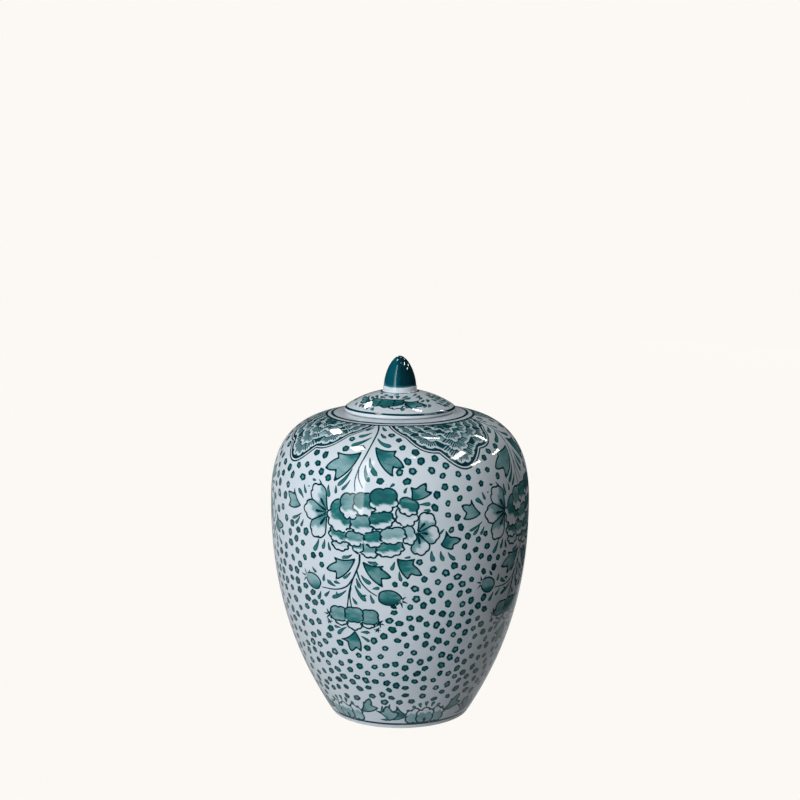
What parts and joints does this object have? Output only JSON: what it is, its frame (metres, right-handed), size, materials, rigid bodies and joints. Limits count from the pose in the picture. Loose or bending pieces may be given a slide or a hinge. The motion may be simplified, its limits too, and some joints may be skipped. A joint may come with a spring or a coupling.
{
  "type": "ginger jar",
  "caption": "Tapering round-shouldered ginger jar of painted glazed porcelain, with a lift-off domed lid that seats in the mouth by an inner flange and an acorn knob",
  "frame": {"origin": "centre of the foot ring, on the surface the jar stands on", "axes": "+Z is the jar's axis of revolution, pointing up through the knob; the pattern's front, with its main flower just left of the middle, faces -Y"},
  "size_m": [0.24, 0.24, 0.3351],
  "materials": {
    "porcelain_glaze": "gloss, with a hand-painted deep-green pattern",
    "teal_glaze": "gloss"
  },
  "bodies": {
    "jar": {"jar_body": "porcelain_glaze"},
    "lid": {"lid": "porcelain_glaze", "lid_knob": "teal_glaze"}
  },
  "joints": [
    {"name": "lid_lift", "type": "slide", "parent": "jar", "child": "lid", "axis": [0, 0, 1], "range_m": [0, 0.12]}
  ]
}
